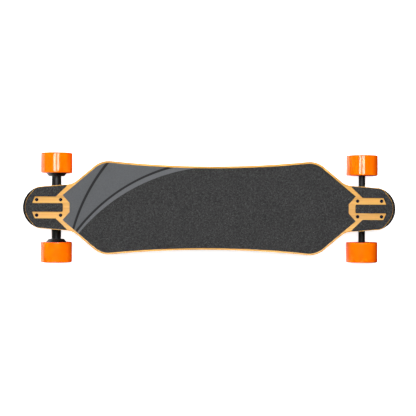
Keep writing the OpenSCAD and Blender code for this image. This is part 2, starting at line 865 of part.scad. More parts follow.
module front_left_tyre() {
    on_front_axle(1) front_tyre();
}

module front_left_core() {
    on_front_axle(1) front_core();
}

module front_left_bearings() {
    on_front_axle(1) front_bearings();
}

module front_right_tyre() {
    on_front_axle(-1) front_tyre();
}

module front_right_core() {
    on_front_axle(-1) front_core();
}

module front_right_bearings() {
    on_front_axle(-1) front_bearings();
}

// ---- hub motors: turning parts ----
can_r = 31;
can_in = 28;
magnets = 14;
mid = wheel_w / 2;

module rear_tyre() {
    color(wheel_colour) tyre_ring(wheel_d / 2, can_r, wheel_w);
}

module motor_can() {
    color([0.3, 0.3, 0.3]) translate([0, 0, 1]) tube(can_r - 0.01, can_in, wheel_w - 5.5);
}

module motor_magnets() {
    arc = 360 / magnets - 4;
    color([0.6, 0.6, 0.62]) for (i = [0:magnets - 1]) rotate(i * 360 / magnets)
        translate([0, 0, mid - 13]) rotate_extrude(angle = arc, $fn = 144)
            translate([26, 0]) square([can_in - 26 - 0.02, 22]);
}

module motor_covers() {
    color([0.15, 0.15, 0.15]) {
        translate([0, 0, 1]) difference() {
            union() {
                cylinder(r = can_in - 0.01, h = 3);
                cylinder(r = 15, h = 7.5);
            }
            translate([0, 0, -over]) cylinder(r = 11, h = 10);
            translate([0, 0, 2]) cylinder(r = 12 + 0.01, h = 10);
        }
        translate([0, 0, mid + 18.5]) difference() {
            union() {
                cylinder(r = can_in - 0.01, h = 4);
                translate([0, 0, -5]) cylinder(r = 14, h = 6);
            }
            translate([0, 0, -6]) cylinder(r = seat_r + 0.01, h = 8.5);
            translate([0, 0, 2]) cylinder(r = 9.5, h = 5);
            for (i = [0:5]) rotate(i * 60) translate([23, 0, -over]) cylinder(r = 1.6, h = 6);
        }
    }
}

module rear_bearings() {
    color("Silver") {
        translate([0, 0, 3]) bearing(12, stub_r + 0.02, 5);
        translate([0, 0, mid + 13.9]) bearing(seat_r, axle_r + 0.02, bearing_w);
    }
}

module rear_left_tyre() {
    on_rear_axle(1) rear_tyre();
}

module rear_left_motor_can() {
    on_rear_axle(1) motor_can();
}

module rear_left_magnets() {
    on_rear_axle(1) motor_magnets();
}

module rear_left_bearings() {
    on_rear_axle(1) rear_bearings();
}

module rear_left_covers() {
    on_rear_axle(1) motor_covers();
}

module rear_right_tyre() {
    on_rear_axle(-1) rear_tyre();
}

module rear_right_motor_can() {
    on_rear_axle(-1) motor_can();
}

module rear_right_magnets() {
    on_rear_axle(-1) motor_magnets();
}

module rear_right_bearings() {
    on_rear_axle(-1) rear_bearings();
}

module rear_right_covers() {
    on_rear_axle(-1) motor_covers();
}

deck();
main_grip();
nose_grip();
tail_grip();
nose_bumper();
tail_bumper();
bumper_screws();
enclosure();
enclosure_gasket();
enclosure_screws();
battery_cells();
cell_brackets();
bms_board();
esc_board();
esc_heat_plate();
power_leads();
charge_socket();
charge_cap();
button_bezel();
power_button();
phase_leads();
truck_bolts();
truck_nuts();
riser_pads();
front_baseplate();
rear_baseplate();
pivot_cups();
kingpins();
kingpin_nuts();
bushing_washers();
front_boardside_bushing();
rear_boardside_bushing();
front_roadside_bushing();
rear_roadside_bushing();
front_hanger();
front_axle();
front_axle_nuts();
rear_hanger();
rear_axle();
rear_axle_nuts();
motor_flanges();
stator_cores();
stator_windings();
motor_cables();
front_left_tyre();
front_left_core();
front_left_bearings();
front_right_tyre();
front_right_core();
front_right_bearings();
rear_left_tyre();
rear_left_motor_can();
rear_left_magnets();
rear_left_bearings();
rear_left_covers();
rear_right_tyre();
rear_right_motor_can();
rear_right_magnets();
rear_right_bearings();
rear_right_covers();
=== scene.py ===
"""Looks of the electric skateboard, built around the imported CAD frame. Lengths are in metres."""

import json
import math

import bmesh
import bpy
from mathutils import Matrix, Vector


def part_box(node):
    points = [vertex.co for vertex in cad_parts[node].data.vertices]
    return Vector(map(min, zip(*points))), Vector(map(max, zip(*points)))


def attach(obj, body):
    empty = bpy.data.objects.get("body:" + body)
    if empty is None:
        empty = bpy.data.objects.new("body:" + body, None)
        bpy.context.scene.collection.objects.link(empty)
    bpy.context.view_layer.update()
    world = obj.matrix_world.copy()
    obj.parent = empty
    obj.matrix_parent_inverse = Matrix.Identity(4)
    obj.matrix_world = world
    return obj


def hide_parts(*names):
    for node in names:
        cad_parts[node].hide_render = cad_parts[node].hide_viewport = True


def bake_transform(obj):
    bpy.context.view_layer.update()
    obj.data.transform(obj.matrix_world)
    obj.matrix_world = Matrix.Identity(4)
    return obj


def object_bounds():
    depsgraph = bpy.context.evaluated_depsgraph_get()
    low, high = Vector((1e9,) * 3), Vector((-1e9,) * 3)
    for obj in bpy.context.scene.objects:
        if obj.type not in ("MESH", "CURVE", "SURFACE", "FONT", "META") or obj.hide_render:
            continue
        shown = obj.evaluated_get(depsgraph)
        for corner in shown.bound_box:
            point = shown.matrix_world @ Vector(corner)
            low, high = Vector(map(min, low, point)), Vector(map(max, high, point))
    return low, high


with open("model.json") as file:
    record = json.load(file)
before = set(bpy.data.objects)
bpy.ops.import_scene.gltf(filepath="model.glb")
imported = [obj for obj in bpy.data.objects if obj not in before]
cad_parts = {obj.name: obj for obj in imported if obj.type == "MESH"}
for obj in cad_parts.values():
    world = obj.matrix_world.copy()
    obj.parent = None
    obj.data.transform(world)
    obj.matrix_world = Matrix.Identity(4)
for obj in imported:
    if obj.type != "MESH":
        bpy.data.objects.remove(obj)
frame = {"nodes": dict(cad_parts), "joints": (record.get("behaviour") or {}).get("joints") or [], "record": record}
CAD_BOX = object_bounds()
NODES = frame["nodes"]
JOINTS = {joint["name"]: joint for joint in frame["joints"]}
SLOTS = {part["node"]: part["material_slot"] for part in frame["record"]["subparts"]}
MM = 0.001


# ---------------------------------------------------------------- material graphs

class Graph:
    """The nodes of one material, with short calls for the steps that the materials share."""

    def __init__(self, name):
        self.material = bpy.data.materials.new(name)
        self.material.use_nodes = True
        self.tree = self.material.node_tree
        self.surface = self.tree.nodes["Principled BSDF"]
        self.place = self.tree.nodes.new("ShaderNodeTexCoord").outputs["Object"]

    def node(self, kind, **settings):
        """A new node, with some of its settings changed."""
        made = self.tree.nodes.new(kind)
        for name, value in settings.items():
            setattr(made, name, value)
        return made

    def feed(self, socket, value):
        """Puts a number, a colour or another node's output into a socket."""
        if isinstance(value, bpy.types.NodeSocket):
            self.tree.links.new(value, socket)
        elif isinstance(value, (tuple, list)) and len(value) == 3 and socket.type == "RGBA":
            socket.default_value = (*value, 1.0)
        else:
            socket.default_value = value

    def math(self, operation, a, b=0.0, clamp=False):
        """One sum on two values."""
        made = self.node("ShaderNodeMath", operation=operation, use_clamp=clamp)
        self.feed(made.inputs[0], a)
        self.feed(made.inputs[1], b)
        return made.outputs[0]

    def part(self, axis, place=None):
        """One coordinate, "X", "Y" or "Z", of a place."""
        made = self.node("ShaderNodeSeparateXYZ")
        self.feed(made.inputs[0], place or self.place)
        return made.outputs[axis]

    def scaled(self, *scale):
        """The place, scaled along each axis, so that a pattern is drawn out along the smallest."""
        made = self.node("ShaderNodeMapping")
        self.feed(made.inputs["Vector"], self.place)
        made.inputs["Scale"].default_value = scale
        return made.outputs[0]

    def noise(self, scale, place=None, detail=2.0, roughness=0.5):
        """A cloudy value between about 0.3 and 0.7."""
        made = self.node("ShaderNodeTexNoise")
        self.feed(made.inputs["Vector"], place or self.place)
        made.inputs["Scale"].default_value = scale
        made.inputs["Detail"].default_value = detail
        made.inputs["Roughness"].default_value = roughness
        return made.outputs["Fac"]

    def cells(self, scale, output="Distance"):
        """Grains: the distance to each grain's middle, or a random colour for each grain."""
        made = self.node("ShaderNodeTexVoronoi")
        self.feed(made.inputs["Vector"], self.place)
        made.inputs["Scale"].default_value = scale
        return made.outputs[output]

    def ramp(self, value, low, high, out_low=0.0, out_high=1.0):
        """value taken from low..high to out_low..out_high, and held at the ends."""
        made = self.node("ShaderNodeMapRange", clamp=True)
        self.feed(made.inputs["Value"], value)
        for name, number in zip(("From Min", "From Max", "To Min", "To Max"),
                                (low, high, out_low, out_high)):
            self.feed(made.inputs[name], number)
        return made.outputs["Result"]

    def vary(self, pattern, low=0.0, high=1.0):
        """A noise, spread from its usual reach to low..high."""
        return self.ramp(pattern, 0.3, 0.7, low, high)

    def mix(self, share, a, b):
        """Colour a where share is 0, and colour b where it is 1."""
        made = self.node("ShaderNodeMix", data_type="RGBA")
        self.feed(made.inputs["Factor"], share)
        self.feed(made.inputs[6], a)
        self.feed(made.inputs[7], b)
        return made.outputs[2]

    def shade(self, colour, amount):
        """The colour made darker or lighter by a grey amount."""
        made = self.node("ShaderNodeMix", data_type="RGBA", blend_type="MULTIPLY")
        made.inputs["Factor"].default_value = 1.0
        self.feed(made.inputs[6], colour)
        self.feed(made.inputs[7], amount)
        return made.outputs[2]

    def edge_wear(self, low=0.52, high=0.60):
        """1 on convex edges, 0 elsewhere."""
        geometry = self.node("ShaderNodeNewGeometry")
        return self.ramp(geometry.outputs["Pointiness"], low, high)

    def rim(self, reach):
        """Rises from 0 to 1 over the last reach before a sharp edge."""
        rounded = self.node("ShaderNodeBevel", samples=6)
        rounded.inputs["Radius"].default_value = reach
        geometry = self.node("ShaderNodeNewGeometry")
        along = self.node("ShaderNodeVectorMath", operation="DOT_PRODUCT")
        self.feed(along.inputs[0], rounded.outputs[0])
        self.feed(along.inputs[1], geometry.outputs["True Normal"])
        return self.ramp(along.outputs["Value"], 1.0, 0.8)

    def facing(self):
        """0 where the surface faces the eye, 1 where it turns away."""
        return self.node("ShaderNodeLayerWeight").outputs["Facing"]

    def bump(self, height, depth, strength):
        """Relief on the surface, depth metres high where height is 1."""
        made = self.node("ShaderNodeBump")
        made.inputs["Distance"].default_value = depth
        made.inputs["Strength"].default_value = strength
        self.feed(made.inputs["Height"], height)
        self.feed(self.surface.inputs["Normal"], made.outputs[0])

    def finish(self, colour, roughness, metallic=0.0, **extra):
        """Sets the surface, with extra settings named as on the node, and gives the material."""
        self.feed(self.surface.inputs["Base Color"], colour)
        self.feed(self.surface.inputs["Roughness"], roughness)
        self.feed(self.surface.inputs["Metallic"], metallic)
        for name, value in extra.items():
            self.feed(self.surface.inputs[name.replace("_", " ")], value)
        return self.material


def grit(g, dark, light):
    """Sprayed grit: small stones of uneven height, a few of them given a painted glint, in a mottled resin that
    darkens along the sheet's rim."""
    stones = g.cells(1400)
    tone = g.cells(1400, output="Color")
    patch = g.noise(210, detail=4, roughness=0.65)
    cloud = g.noise(18, detail=2)
    spread = g.math("MULTIPLY", g.part("X", tone), g.ramp(patch, 0.38, 0.62, 0.25, 1.15))
    colour = g.mix(spread, dark, light)
    # painted glint: a pale grey on a few stones stands in for light sparkling off them
    painted_glint = g.ramp(g.part("Y", tone), 0.94, 0.99, 0.0, 0.30)
    colour = g.mix(painted_glint, colour, (0.30, 0.30, 0.30))
    colour = g.shade(colour, g.vary(cloud, 0.92, 1.06))
    colour = g.shade(colour, g.ramp(g.rim(2.2 * MM), 0.0, 0.5, 1.0, 0.25))
    height = g.math("SUBTRACT", 1.0, stones)
    return colour, height


GRIT_DARK = (0.008, 0.008, 0.008)
GRIT_LIGHT = (0.050, 0.050, 0.051)
GRIT_DEPTH = 0.35 * MM


def grip_plain():
    """Black grip sheet without print."""
    g = Graph("grip_plain")
    colour, height = grit(g, GRIT_DARK, GRIT_LIGHT)
    g.bump(height, GRIT_DEPTH, 0.8)
    return g.finish(colour, 0.82, Specular_IOR_Level=0.35)


def in_circle(g, centre, radius, soft=0.5 * MM):
    """1 inside a circle on the deck, 0 outside it."""
    flat = g.scaled(1, 1, 0)
    away = g.node("ShaderNodeVectorMath", operation="DISTANCE")
    g.feed(away.inputs[0], flat)
    away.inputs[1].default_value = (*centre, 0)
    return g.ramp(away.outputs["Value"], radius - soft, radius + soft, 1.0, 0.0)


# the print on the rear half of the main grip: circles on the deck as (centre, radius)
SWEEP = ((0.0306, -0.3746), 0.485)
STRIPE = ((0.0175, -0.3346), 0.4553)
HAIRLINE = ((0.0256, -0.3465), 0.475)
SLASH_OUTER = ((0.0990, -0.1810), 0.4784)
SLASH_INNER = ((0.0975, -0.1828), 0.4716)


def grip_printed():
    """The main grip: black grit inside the sweep, and printed greys and dark lines beyond it."""
    g = Graph("grip_printed")
    dark, height = grit(g, GRIT_DARK, GRIT_LIGHT)
    fine = g.vary(g.noise(320, detail=5, roughness=0.75), 0.86, 1.14)
    grey = g.shade((0.085, 0.088, 0.094), fine)
    pale = g.shade((0.104, 0.108, 0.115), fine)
    line = g.shade((0.011, 0.011, 0.012), fine)
    rear = g.ramp(g.part("X"), 0.06, 0.05)
    slash = g.math("SUBTRACT", in_circle(g, *SLASH_OUTER), in_circle(g, *SLASH_INNER), clamp=True)
    colour = g.mix(slash, grey, line)
    colour = g.mix(in_circle(g, *HAIRLINE), colour, line)
    colour = g.mix(in_circle(g, *STRIPE), colour, pale)
    colour = g.mix(in_circle(g, *SWEEP), colour, dark)
    colour = g.mix(rear, dark, colour)
    g.bump(height, GRIT_DEPTH, 0.8)
    return g.finish(colour, 0.80, Specular_IOR_Level=0.35)


STRIP = 6.5 * MM
PLY = 2.0 * MM


def bamboo_face(g, fibre):
    """Narrow strips along the board, each with its own tone, nodes and seams, and fine fibre."""
    row = g.math("FLOOR", g.math("DIVIDE", g.part("Y"), STRIP))
    offset = g.node("ShaderNodeTexWhiteNoise", noise_dimensions="1D")
    g.feed(offset.inputs["W"], row)
    tone = offset.outputs["Value"]
    cloud = g.noise(1.0, g.scaled(5, 26, 26), detail=3)
    streak = g.noise(1.0, g.scaled(7, 330, 60), detail=3)
    colour = g.mix(tone, (0.58, 0.275, 0.028), (0.72, 0.375, 0.050))
    colour = g.shade(colour, g.vary(streak, 0.88, 1.10))
    colour = g.mix(g.ramp(fibre, 0.35, 0.65, 0.0, 0.42), colour, (0.52, 0.235, 0.036))
    colour = g.shade(colour, g.vary(cloud, 0.90, 1.12))
    along = g.math("ADD", g.part("X"), g.math("MULTIPLY", tone, 0.31))
    joint = g.math("PINGPONG", along, 0.155)
    knuckle = g.ramp(joint, 0.0, 1.6 * MM, 0.34, 0.0)
    colour = g.mix(knuckle, colour, (0.33, 0.14, 0.03))
    seam = g.math("PINGPONG", g.part("Y"), STRIP / 2)
    return g.mix(g.ramp(seam, 0.0, 0.25 * MM, 0.30, 0.0), colour, (0.30, 0.13, 0.03))


def bamboo_edge(g):
    """Plies, pale and dark by turns, as they show on the deck's edge."""
    ply = g.math("PINGPONG", g.part("Z"), PLY)
    tone = g.mix(g.ramp(ply, 0.9 * MM, 1.1 * MM), (0.62, 0.35, 0.11), (0.34, 0.16, 0.05))
    grain = g.noise(1.0, g.scaled(60, 60, 900), detail=3)
    return g.shade(tone, g.vary(grain, 0.8, 1.15))


def bamboo():
    """Lacquered bamboo: strips on the faces, and plies on the edge."""
    g = Graph("bamboo")
    fibre = g.noise(1.0, g.scaled(9, 1500, 220), detail=4, roughness=0.65)
    geometry = g.node("ShaderNodeNewGeometry")
    upright = g.math("ABSOLUTE", g.part("Z", geometry.outputs["True Normal"]))
    on_edge = g.ramp(upright, 0.3, 0.5, 1.0, 0.0)
    colour = g.mix(on_edge, bamboo_face(g, fibre), bamboo_edge(g))
    g.bump(fibre, 0.04 * MM, 0.5)
    return g.finish(colour, 0.45, Specular_IOR_Level=0.3, Coat_Weight=0.25, Coat_Roughness=0.2)


def urethane(name, colour, painted_shade_red, smoothest):
    """Cast urethane: translucent, with a painted red glow that stands in for light scattered inside, and painted
    shade that deepens the red towards the silhouette.
    """
    g = Graph(name)
    cloud = g.noise(60, detail=3)
    scuff = g.noise(1.0, g.scaled(240, 1500, 240), detail=4, roughness=0.7)
    # painted shade: the colour deepens to a darker red where the surface turns away from the eye
    tint_and_painted_shade = g.mix(g.ramp(g.facing(), 0.2, 0.8, 0.0, 0.5), colour, painted_shade_red)
    tint_and_painted_shade = g.shade(tint_and_painted_shade, g.vary(cloud, 0.96, 1.03))
    rough = g.ramp(scuff, 0.35, 0.75, smoothest, smoothest + 0.06)
    g.bump(scuff, 0.004 * MM, 0.2)
    g.surface.inputs["Subsurface Radius"].default_value = (1.0, 0.2, 0.03)
    g.surface.inputs["Subsurface Scale"].default_value = 10 * MM
    # painted glow: a faint red emission stands in for light scattered inside the urethane
    return g.finish(tint_and_painted_shade, rough, Subsurface_Weight=0.6, IOR=1.5, Emission_Color=(0.9, 0.01, 0.0),
                    Emission_Strength=0.2)


def coated_metal():
    """Satin black powder coat: fine orange peel, and thinner, brighter edges."""
    g = Graph("black_metal")
    peel = g.noise(1400, detail=2)
    dust = g.noise(90, detail=4)
    colour = g.mix(g.ramp(dust, 0.35, 0.75, 0.0, 0.5), (0.006, 0.006, 0.007), (0.014, 0.014, 0.015))
    colour = g.mix(g.edge_wear(), colour, (0.05, 0.05, 0.053))
    rough = g.vary(dust, 0.34, 0.44)
    g.bump(peel, 0.05 * MM, 0.4)
    return g.finish(colour, rough, Specular_IOR_Level=0.2)


def turned_metal(name, colour, low, high):
    """Turned or drawn metal with fine machining rings and faint smears."""
    g = Graph(name)
    rings = g.noise(1.0, g.scaled(300, 5200, 300), detail=3)
    smear = g.noise(140, detail=3)
    tone = g.shade(colour, g.vary(rings, 0.86, 1.10))
    tone = g.shade(tone, g.vary(smear, 0.93, 1.05))
    rough = g.vary(rings, low, high)
    g.bump(rings, 0.02 * MM, 0.5)
    return g.finish(tone, rough, 1.0)


def anodised(name, colour):
    """Dark anodised alloy with a fine even grain and bright edges."""
    g = Graph(name)
    grain = g.noise(900, detail=2)
    tone = g.shade(colour, g.vary(grain, 0.88, 1.12))
    tone = g.mix(g.edge_wear(0.53, 0.62), tone, (0.45, 0.46, 0.48))
    g.bump(grain, 0.02 * MM, 0.4)
    return g.finish(tone, g.vary(grain, 0.24, 0.36), 0.9)


def moulded(name, colour, grain_scale, rough, depth):
    """Moulded plastic or rubber with a fine, even grain and slightly lighter edges."""
    g = Graph(name)
    grain = g.noise(grain_scale, detail=3)
    pits = g.cells(grain_scale * 0.8)
    dust = g.noise(70, detail=4)
    tone = g.shade(colour, g.vary(grain, 0.82, 1.18))
    tone = g.mix(g.edge_wear(0.53, 0.65), tone, [min(1, 2.2 * c + 0.01) for c in colour])
    relief = g.math("ADD", grain, g.math("MULTIPLY", pits, 0.6))
    g.bump(relief, depth, 0.6)
    return g.finish(tone, g.vary(dust, rough - 0.06, rough + 0.06), Specular_IOR_Level=0.12)


def circuit():
    """Solder mask over copper tracks, with dark patches of components."""
    g = Graph("circuit_board")
    mask, covered_track, component = (0.01, 0.09, 0.04), (0.03, 0.17, 0.08), (0.02, 0.02, 0.02)
    across = g.math("PINGPONG", g.part("Y"), 1.1 * MM)
    on_track = g.ramp(across, 0.45 * MM, 0.55 * MM)
    blocks = g.cells(70, output="Color")
    colour = g.mix(g.math("MULTIPLY", on_track, 0.6), mask, covered_track)
    colour = g.mix(g.ramp(g.part("X", blocks), 0.55, 0.6, 0.0, 0.35), colour, component)
    g.bump(on_track, 0.04 * MM, 0.5)
    return g.finish(colour, 0.35, Coat_Weight=0.4)


def windings():
    """Enamelled copper wire, lying in turns."""
    g = Graph("copper")
    turns = g.math("PINGPONG", g.part("Y"), 0.4 * MM)
    colour = g.mix(g.ramp(turns, 0.0, 0.4 * MM), (0.25, 0.08, 0.02), (0.72, 0.30, 0.10))
    g.bump(turns, 0.4 * MM, 0.8)
    return g.finish(colour, 0.3, 0.8)


def lamination():
    """The cut edges of stacked steel sheets."""
    g = Graph("lamination")
    sheets = g.math("PINGPONG", g.part("Y"), 0.25 * MM)
    colour = g.mix(g.ramp(sheets, 0.0, 0.25 * MM), (0.10, 0.10, 0.11), (0.34, 0.34, 0.36))
    g.bump(sheets, 0.2 * MM, 0.6)
    return g.finish(colour, 0.42, 0.9)


def cell_wrap():
    """Blue shrink wrap over steel cans, with faint wrinkles."""
    g = Graph("cell_wrap")
    wrinkle = g.noise(1.0, g.scaled(220, 40, 220), detail=4)
    colour = g.mix(g.vary(wrinkle), (0.01, 0.10, 0.28), (0.03, 0.18, 0.42))
    g.bump(wrinkle, 0.1 * MM, 0.5)
    return g.finish(colour, 0.28, Coat_Weight=0.5)


def cable_jacket():
    """Braided sleeve over silicone cable."""
    g = Graph("cable_jacket")
    braid = g.cells(1100)
    colour = g.mix(g.ramp(braid, 0.1, 0.5), (0.03, 0.03, 0.032), (0.006, 0.006, 0.007))
    g.bump(braid, 0.25 * MM, 0.8)
    return g.finish(colour, 0.55)


def make_materials():
    """One material for each slot of the record, and the printed grip."""
    return {
        "bamboo": bamboo(),
        "grip_sheet": grip_plain(),
        "grip_printed": grip_printed(),
        "rubber_black": moulded("rubber_black", (0.005, 0.005, 0.005), 900, 0.58, 0.06 * MM),
        # the third colour of each urethane is the painted shade red towards its silhouette
        "orange_urethane": urethane("orange_urethane", (0.95, 0.20, 0.0), (0.95, 0.04, 0.0), 0.07),
        "bushing_urethane": urethane("bushing_urethane", (0.85, 0.13, 0.01), (0.60, 0.04, 0.0), 0.28),
        "black_metal": coated_metal(),
        "black_plastic": moulded("black_plastic", (0.014, 0.014, 0.015), 1300, 0.52, 0.08 * MM),
        "core_plastic": moulded("core_plastic", (0.016, 0.016, 0.017), 1000, 0.44, 0.05 * MM),
        "steel": turned_metal("steel", (0.58, 0.58, 0.60), 0.18, 0.34),
        "black_screws": turned_metal("black_screws", (0.006, 0.007, 0.012), 0.34, 0.50),
        "motor_alloy": anodised("motor_alloy", (0.060, 0.063, 0.070)),
        "magnet_steel": turned_metal("magnet_steel", (0.50, 0.50, 0.52), 0.15, 0.25),
        "lamination": lamination(),
        "copper": windings(),
        "cell_wrap": cell_wrap(),
        "bracket_plastic": moulded("bracket_plastic", (0.60, 0.60, 0.56), 900, 0.45, 0.05 * MM),
        "circuit_board": circuit(),
        "plate_alloy": turned_metal("plate_alloy", (0.70, 0.70, 0.72), 0.25, 0.40),
        "cable_jacket": cable_jacket(),
    }


MATERIALS = make_materials()


# ---------------------------------------------------------------- carried CAD nodes

def paint(piece, slot):
    """Gives a piece one material."""
    piece.data.materials.clear()
    piece.data.materials.append(MATERIALS[slot])


def soften(piece, width):
    """Joins the faces' shared corners, and rounds the edges that turn by more than SHARP."""
    weld = piece.modifiers.new("weld", "WELD")
    weld.merge_threshold = 0.004 * MM
    bevel = piece.modifiers.new("rounding", "BEVEL")
    bevel.width = width
    bevel.segments = 2
    bevel.limit_method = "ANGLE"
    bevel.angle_limit = SHARP
    bevel.harden_normals = False
    for polygon in piece.data.polygons:
        polygon.use_smooth = True
    piece.modifiers.new("even_normals", "WEIGHTED_NORMAL")


# width of the rounding on each node's edges, in millimetres
ROUNDING = {
    "deck": 1.6, "main_grip": 0.3, "nose_grip": 0.3, "tail_grip": 0.3, "nose_bumper": 1.2,
    "tail_bumper": 1.2, "enclosure": 1.0, "riser_pads": 0.4, "front_baseplate": 1.0,
    "rear_baseplate": 1.0, "front_hanger": 1.0, "rear_hanger": 1.0, "motor_flanges": 0.5,
    "kingpins": 0.4, "kingpin_nuts": 0.4, "truck_nuts": 0.3, "truck_bolts": 0.2,
    "front_axle_nuts": 0.4, "rear_axle_nuts": 0.4, "power_button": 0.4, "button_bezel": 0.3,
    "charge_cap": 0.4, "charge_socket": 0.3,
}
FINE_ROUNDING = 0.25
SHARP = math.radians(38)


def dress_nodes():
    """Paints and rounds every CAD node."""
    for name, piece in NODES.items():
        slot = "grip_printed" if name == "main_grip" else SLOTS[name]
        paint(piece, slot)
        soften(piece, ROUNDING.get(name, FINE_ROUNDING) * MM)


# ---------------------------------------------------------------- new pieces

def new_piece(name, mesh, slot):
    """A smooth piece made from a mesh, painted with its slot's material."""
    piece = bpy.data.objects.new(name, mesh)
    bpy.context.scene.collection.objects.link(piece)
    for polygon in mesh.polygons:
        polygon.use_smooth = True
    paint(piece, slot)
    return piece


def lathe(name, profile, place, slot, segments=160):
    """A closed ring: profile is a loop of (radius, height) about Z, put in place by a matrix."""
    mesh = bmesh.new()
    rings = []
    for i in range(segments):
        turn = 2 * math.pi * i / segments
        rings.append([
            mesh.verts.new(place @ Vector((r * math.cos(turn), r * math.sin(turn), h)))
            for r, h in profile
        ])
    count = len(profile)
    for i in range(segments):
        ring, following = rings[i], rings[(i + 1) % segments]
        for j in range(count):
            k = (j + 1) % count
            mesh.faces.new((ring[j], following[j], following[k], ring[k]))
    bmesh.ops.recalc_face_normals(mesh, faces=mesh.faces)
    data = bpy.data.meshes.new(name)
    mesh.to_mesh(data)
    mesh.free()
    return new_piece(name, data, slot)


def facing_to(centre, direction):
    """A matrix that puts Z along direction, at centre."""
    turn = Vector(direction).to_track_quat("Z", "Y").to_matrix().to_4x4()
    return Matrix.Translation(centre) @ turn


def middle(node):
    """The middle of a node's box."""
    low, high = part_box(node)
    return (low + high) / 2


def size(node):
    """The lengths of a node's box."""
    low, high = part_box(node)
    return high - low


def quarter(radius, height, lip):
    """Points of a rounded corner, from the flat end face round to the tread."""
    steps = 8
    angles = [math.radians(90 * i / steps) for i in range(steps + 1)]
    return [(radius - lip + lip * math.sin(a), height - lip + lip * math.cos(a)) for a in angles]


def tyre_profile(radius, half, bore):
    """One half of a tyre's section: the recess round the core, the face, the lip and the tread.
    The mould line is a fine groove, given as (distance from the seam, depth) in millimetres."""
    lip = 2.6 * MM
    recess = 1.2 * MM
    land = bore + 4.5 * MM
    seam = half - lip - 1.2 * MM
    face = [(bore, half - recess), (land - 0.8 * MM, half - recess), (land, half - recess + 0.3 * MM),
            (land + 0.5 * MM, half - 0.4 * MM), (land + 1.3 * MM, half - 0.05 * MM),
            (land + 2.0 * MM, half), (radius - lip - 0.8 * MM, half)]
    groove = [(0.4, 0), (0.15, 0), (0, 0.1), (-0.15, 0), (-0.4, 0)]
    tread = [(radius - painted_shade_red * MM, seam + along * MM) for along, painted_shade_red in groove]
    return face + quarter(radius, half, lip) + tread + [(radius, half * 0.7), (radius, 0)]


def build_tyre(wheel, inside_node):
    """A cast urethane ring with a mould line near each lip."""
    node = f"{wheel}_tyre"
    outer = tyre_profile(size(node).z / 2, size(node).y / 2, size(inside_node).z / 2)
    mirrored = [(r, -h) for r, h in reversed(outer[:-1])]
    piece = lathe(node + "_cast", outer + mirrored, facing_to(middle(node), (0, 1, 0)), "orange_urethane")
    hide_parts(node)
    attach(piece, f"{wheel}_wheel")


def build_tyres():
    """The front tyres are cast round their cores, the rear ones round their motor cans."""
    for side in ("left", "right"):
        build_tyre(f"front_{side}", f"front_{side}_core")
        build_tyre(f"rear_{side}", f"rear_{side}_motor_can")


def span(node, direction):
    """Lowest and highest reach of a node along a direction."""
    reach = [vertex.co.dot(direction) for vertex in NODES[node].data.vertices]
    return min(reach), max(reach)


def bushing_profile(side, radius, half):
    """A bushing's section: a slightly waisted barrel near the board, a cone near the road."""
    hole = radius * 0.43
    slim = 0.79 if side == "roadside" else 1.0
    waist = 0.035 if side == "boardside" else 0.0
    corner, corner_start = 0.06, 0.85
    steps = 16
    profile = []
    for i in range(steps + 1):
        t = -1 + 2 * i / steps
        taper = 1 - (1 - slim) * (t + 1) / 2
        cut = corner * max(0.0, abs(t) - corner_start) / (1 - corner_start)
        profile.append((radius * (taper - waist * (1 - t * t) - cut), half * t))
    return profile + [(hole, half), (hole, -half)]


def build_bushing(end, side):
    """A urethane bushing between the board's washer and the hanger's ring, built at rest; the real one bends as it
    steers.
    """
    node = f"{end}_{side}_bushing"
    steer = Vector(JOINTS[f"{end}_steer"]["axis"]).normalized()
    pin = steer.cross(Vector((0, 1, 0))).normalized()
    if pin.z > 0:
        pin.negate()
    low, high = span(node, pin)
    near, far = span(node, steer)
    radius = (far - near) / 2
    centre = pin * (low + high) / 2 + steer * (near + far) / 2
    half = (high - low) / 2
    profile = bushing_profile(side, radius, half)
    piece = lathe(node + "_cast", profile, facing_to(centre, pin), "bushing_urethane", 72)
    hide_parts(node)
    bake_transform(piece)


def smooth_path(points):
    """A Catmull-Rom curve through the points."""
    steps = 10
    points = [Vector(p) for p in points]
    padded = [2 * points[0] - points[1], *points, 2 * points[-1] - points[-2]]
    path = []
    for a, b, c, d in zip(padded, padded[1:], padded[2:], padded[3:]):
        for i in range(steps):
            t = i / steps
            path.append(0.5 * (2 * b + (c - a) * t + (2 * a - 5 * b + 4 * c - d) * t * t
                               + (3 * b - a - 3 * c + d) * t ** 3))
    path.append(points[-1])
    return path


def sweep_tube(name, path, radius, slot):
    """A round cable along a path, closed at both ends."""
    mesh = bmesh.new()
    across = Vector((0, 0, 1))
    sides = 20
    turns = [2 * math.pi * k / sides for k in range(sides)]
    rings = []
    for i, point in enumerate(path):
        ahead = (path[min(i + 1, len(path) - 1)] - path[max(i - 1, 0)]).normalized()
        across = (across - ahead * across.dot(ahead)).normalized()
        other = ahead.cross(across)
        rings.append([mesh.verts.new(point + radius * (across * math.cos(a) + other * math.sin(a)))
                      for a in turns])
    for ring, following in zip(rings, rings[1:]):
        for k in range(sides):
            n = (k + 1) % sides
            mesh.faces.new((ring[k], ring[n], following[n], following[k]))
    mesh.faces.new(list(reversed(rings[0])))
    mesh.faces.new(rings[-1])
    bmesh.ops.recalc_face_normals(mesh, faces=mesh.faces)
    data = bpy.data.meshes.new(name)
    mesh.to_mesh(data)
    mesh.free()
    return new_piece(name, data, slot)


